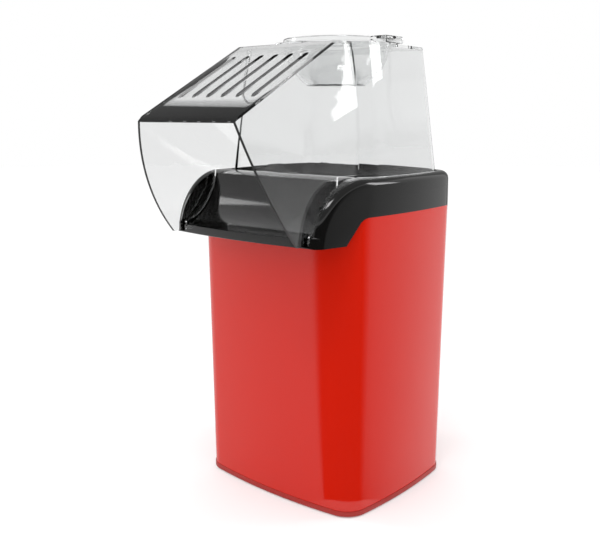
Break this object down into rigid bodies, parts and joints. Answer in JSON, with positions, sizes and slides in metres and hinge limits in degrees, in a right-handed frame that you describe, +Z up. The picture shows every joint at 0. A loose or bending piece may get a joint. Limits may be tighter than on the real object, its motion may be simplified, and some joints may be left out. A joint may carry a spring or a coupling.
{
  "type": "hot air popcorn maker",
  "caption": "Upright hot-air popcorn maker: crowned body, black collar with a chute, clear lid with a pouring hood and steam slots, and a measuring cup that hangs in the lid.",
  "frame": {"origin": "on the table under the popping chamber's axis, in the plane of the feet", "axes": "+Z up along the chamber's axis, -Y towards the chute and hood, +X to the right of someone who stands behind the chute looking along +Y"},
  "size_m": [0.143, 0.1925, 0.3019],
  "materials": {
    "red_gloss": "glossy moulded plastic",
    "red_base": "satin moulded plastic",
    "black_gloss": "glossy black with satin sides",
    "black_plastic": "fine texture",
    "rubber": "matt",
    "steel": "zinc plated",
    "clear": "clear moulded plastic",
    "aluminium": "pressed sheet",
    "fibre": "glass-fibre felt",
    "galvanised": "galvanised sheet",
    "mica": "laminated mica",
    "resistance_wire": "oxidised",
    "ceramic": "glazed",
    "white_plastic": "fine texture",
    "magnet": "sintered",
    "bronze": "sintered bronze",
    "copper": "enamelled winding",
    "board": "laminate",
    "rocker_red": "glossy",
    "brass": "tinned blades"
  },
  "bodies": {
    "machine": {"body_shell": "red_gloss", "base_cover": "red_base", "rubber_feet": "rubber", "base_screws": "steel", "collar": "black_gloss", "collar_screws": "steel", "popping_chamber": "aluminium", "chamber_screws": "steel", "chamber_seal": "fibre", "heat_shield": "aluminium", "heater_duct": "galvanised", "mica_plate_long": "mica", "mica_plate_cross": "mica", "heating_coil": "resistance_wire", "thermostat": "ceramic", "thermal_fuse": "ceramic", "fan_housing": "black_plastic", "housing_screws": "steel", "motor_can": "galvanised", "motor_end_bell": "black_plastic", "motor_magnets": "magnet", "motor_bushes": "bronze", "motor_screws": "steel", "rectifier_board": "board", "diodes": "black_plastic", "cord_gland": "black_plastic", "gland_nut": "black_plastic", "switch_housing": "black_plastic", "switch_terminals": "brass"},
    "lid": {"lid": "clear"},
    "measuring_cup": {"measuring_cup": "clear"},
    "rotor": {"fan_impeller": "white_plastic", "motor_armature": "copper", "motor_shaft": "steel"},
    "rocker": {"switch_rocker": "rocker_red"}
  },
  "joints": [
    {"name": "lid_lift", "type": "slide", "parent": "machine", "child": "lid", "axis": [0, 0, 1], "range_m": [0, 0.06]},
    {"name": "cup_lift", "type": "slide", "parent": "lid", "child": "measuring_cup", "axis": [0, 0, 1], "range_m": [0, 0.05]},
    {"name": "rotor_spin", "type": "hinge", "parent": "machine", "child": "rotor", "pos_m": [0, 0, 0.04], "axis": [0, 0, 1], "continuous": true},
    {"name": "rocker_tip", "type": "hinge", "parent": "machine", "child": "rocker", "pos_m": [0, 0.057, 0.044], "axis": [1, 0, 0], "range_deg": [-18, 0]}
  ]
}
